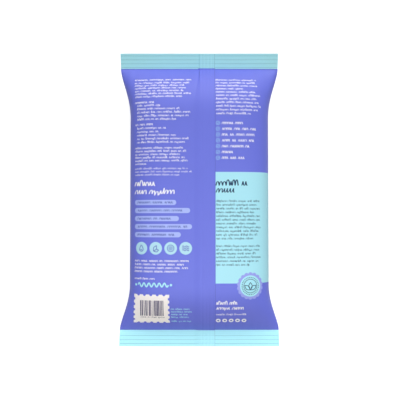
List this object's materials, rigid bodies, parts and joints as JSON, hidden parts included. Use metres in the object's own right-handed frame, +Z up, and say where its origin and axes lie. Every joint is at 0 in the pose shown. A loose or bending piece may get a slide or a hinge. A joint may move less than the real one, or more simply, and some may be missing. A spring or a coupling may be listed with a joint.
{
  "type": "wet wipes pack",
  "caption": "Flow-wrapped pillow pack of wet wipes lying on its front, with crimped end seals, a folded fin seal down the back and a resealable label underneath.",
  "frame": {"origin": "on the surface that the pack lies on, under the middle of its box", "axes": "+Y along the pack's length from one end seal to the other, +X across it towards the side that the fin seal is folded to, +Z up through its thickness to the back face with the fin seal"},
  "size_m": [0.1332, 0.245, 0.0363],
  "materials": {
    "printed_film": "satin",
    "label_film": "satin"
  },
  "bodies": {
    "root": {"film_pack": "printed_film", "reseal_label": "label_film"}
  },
  "joints": []
}
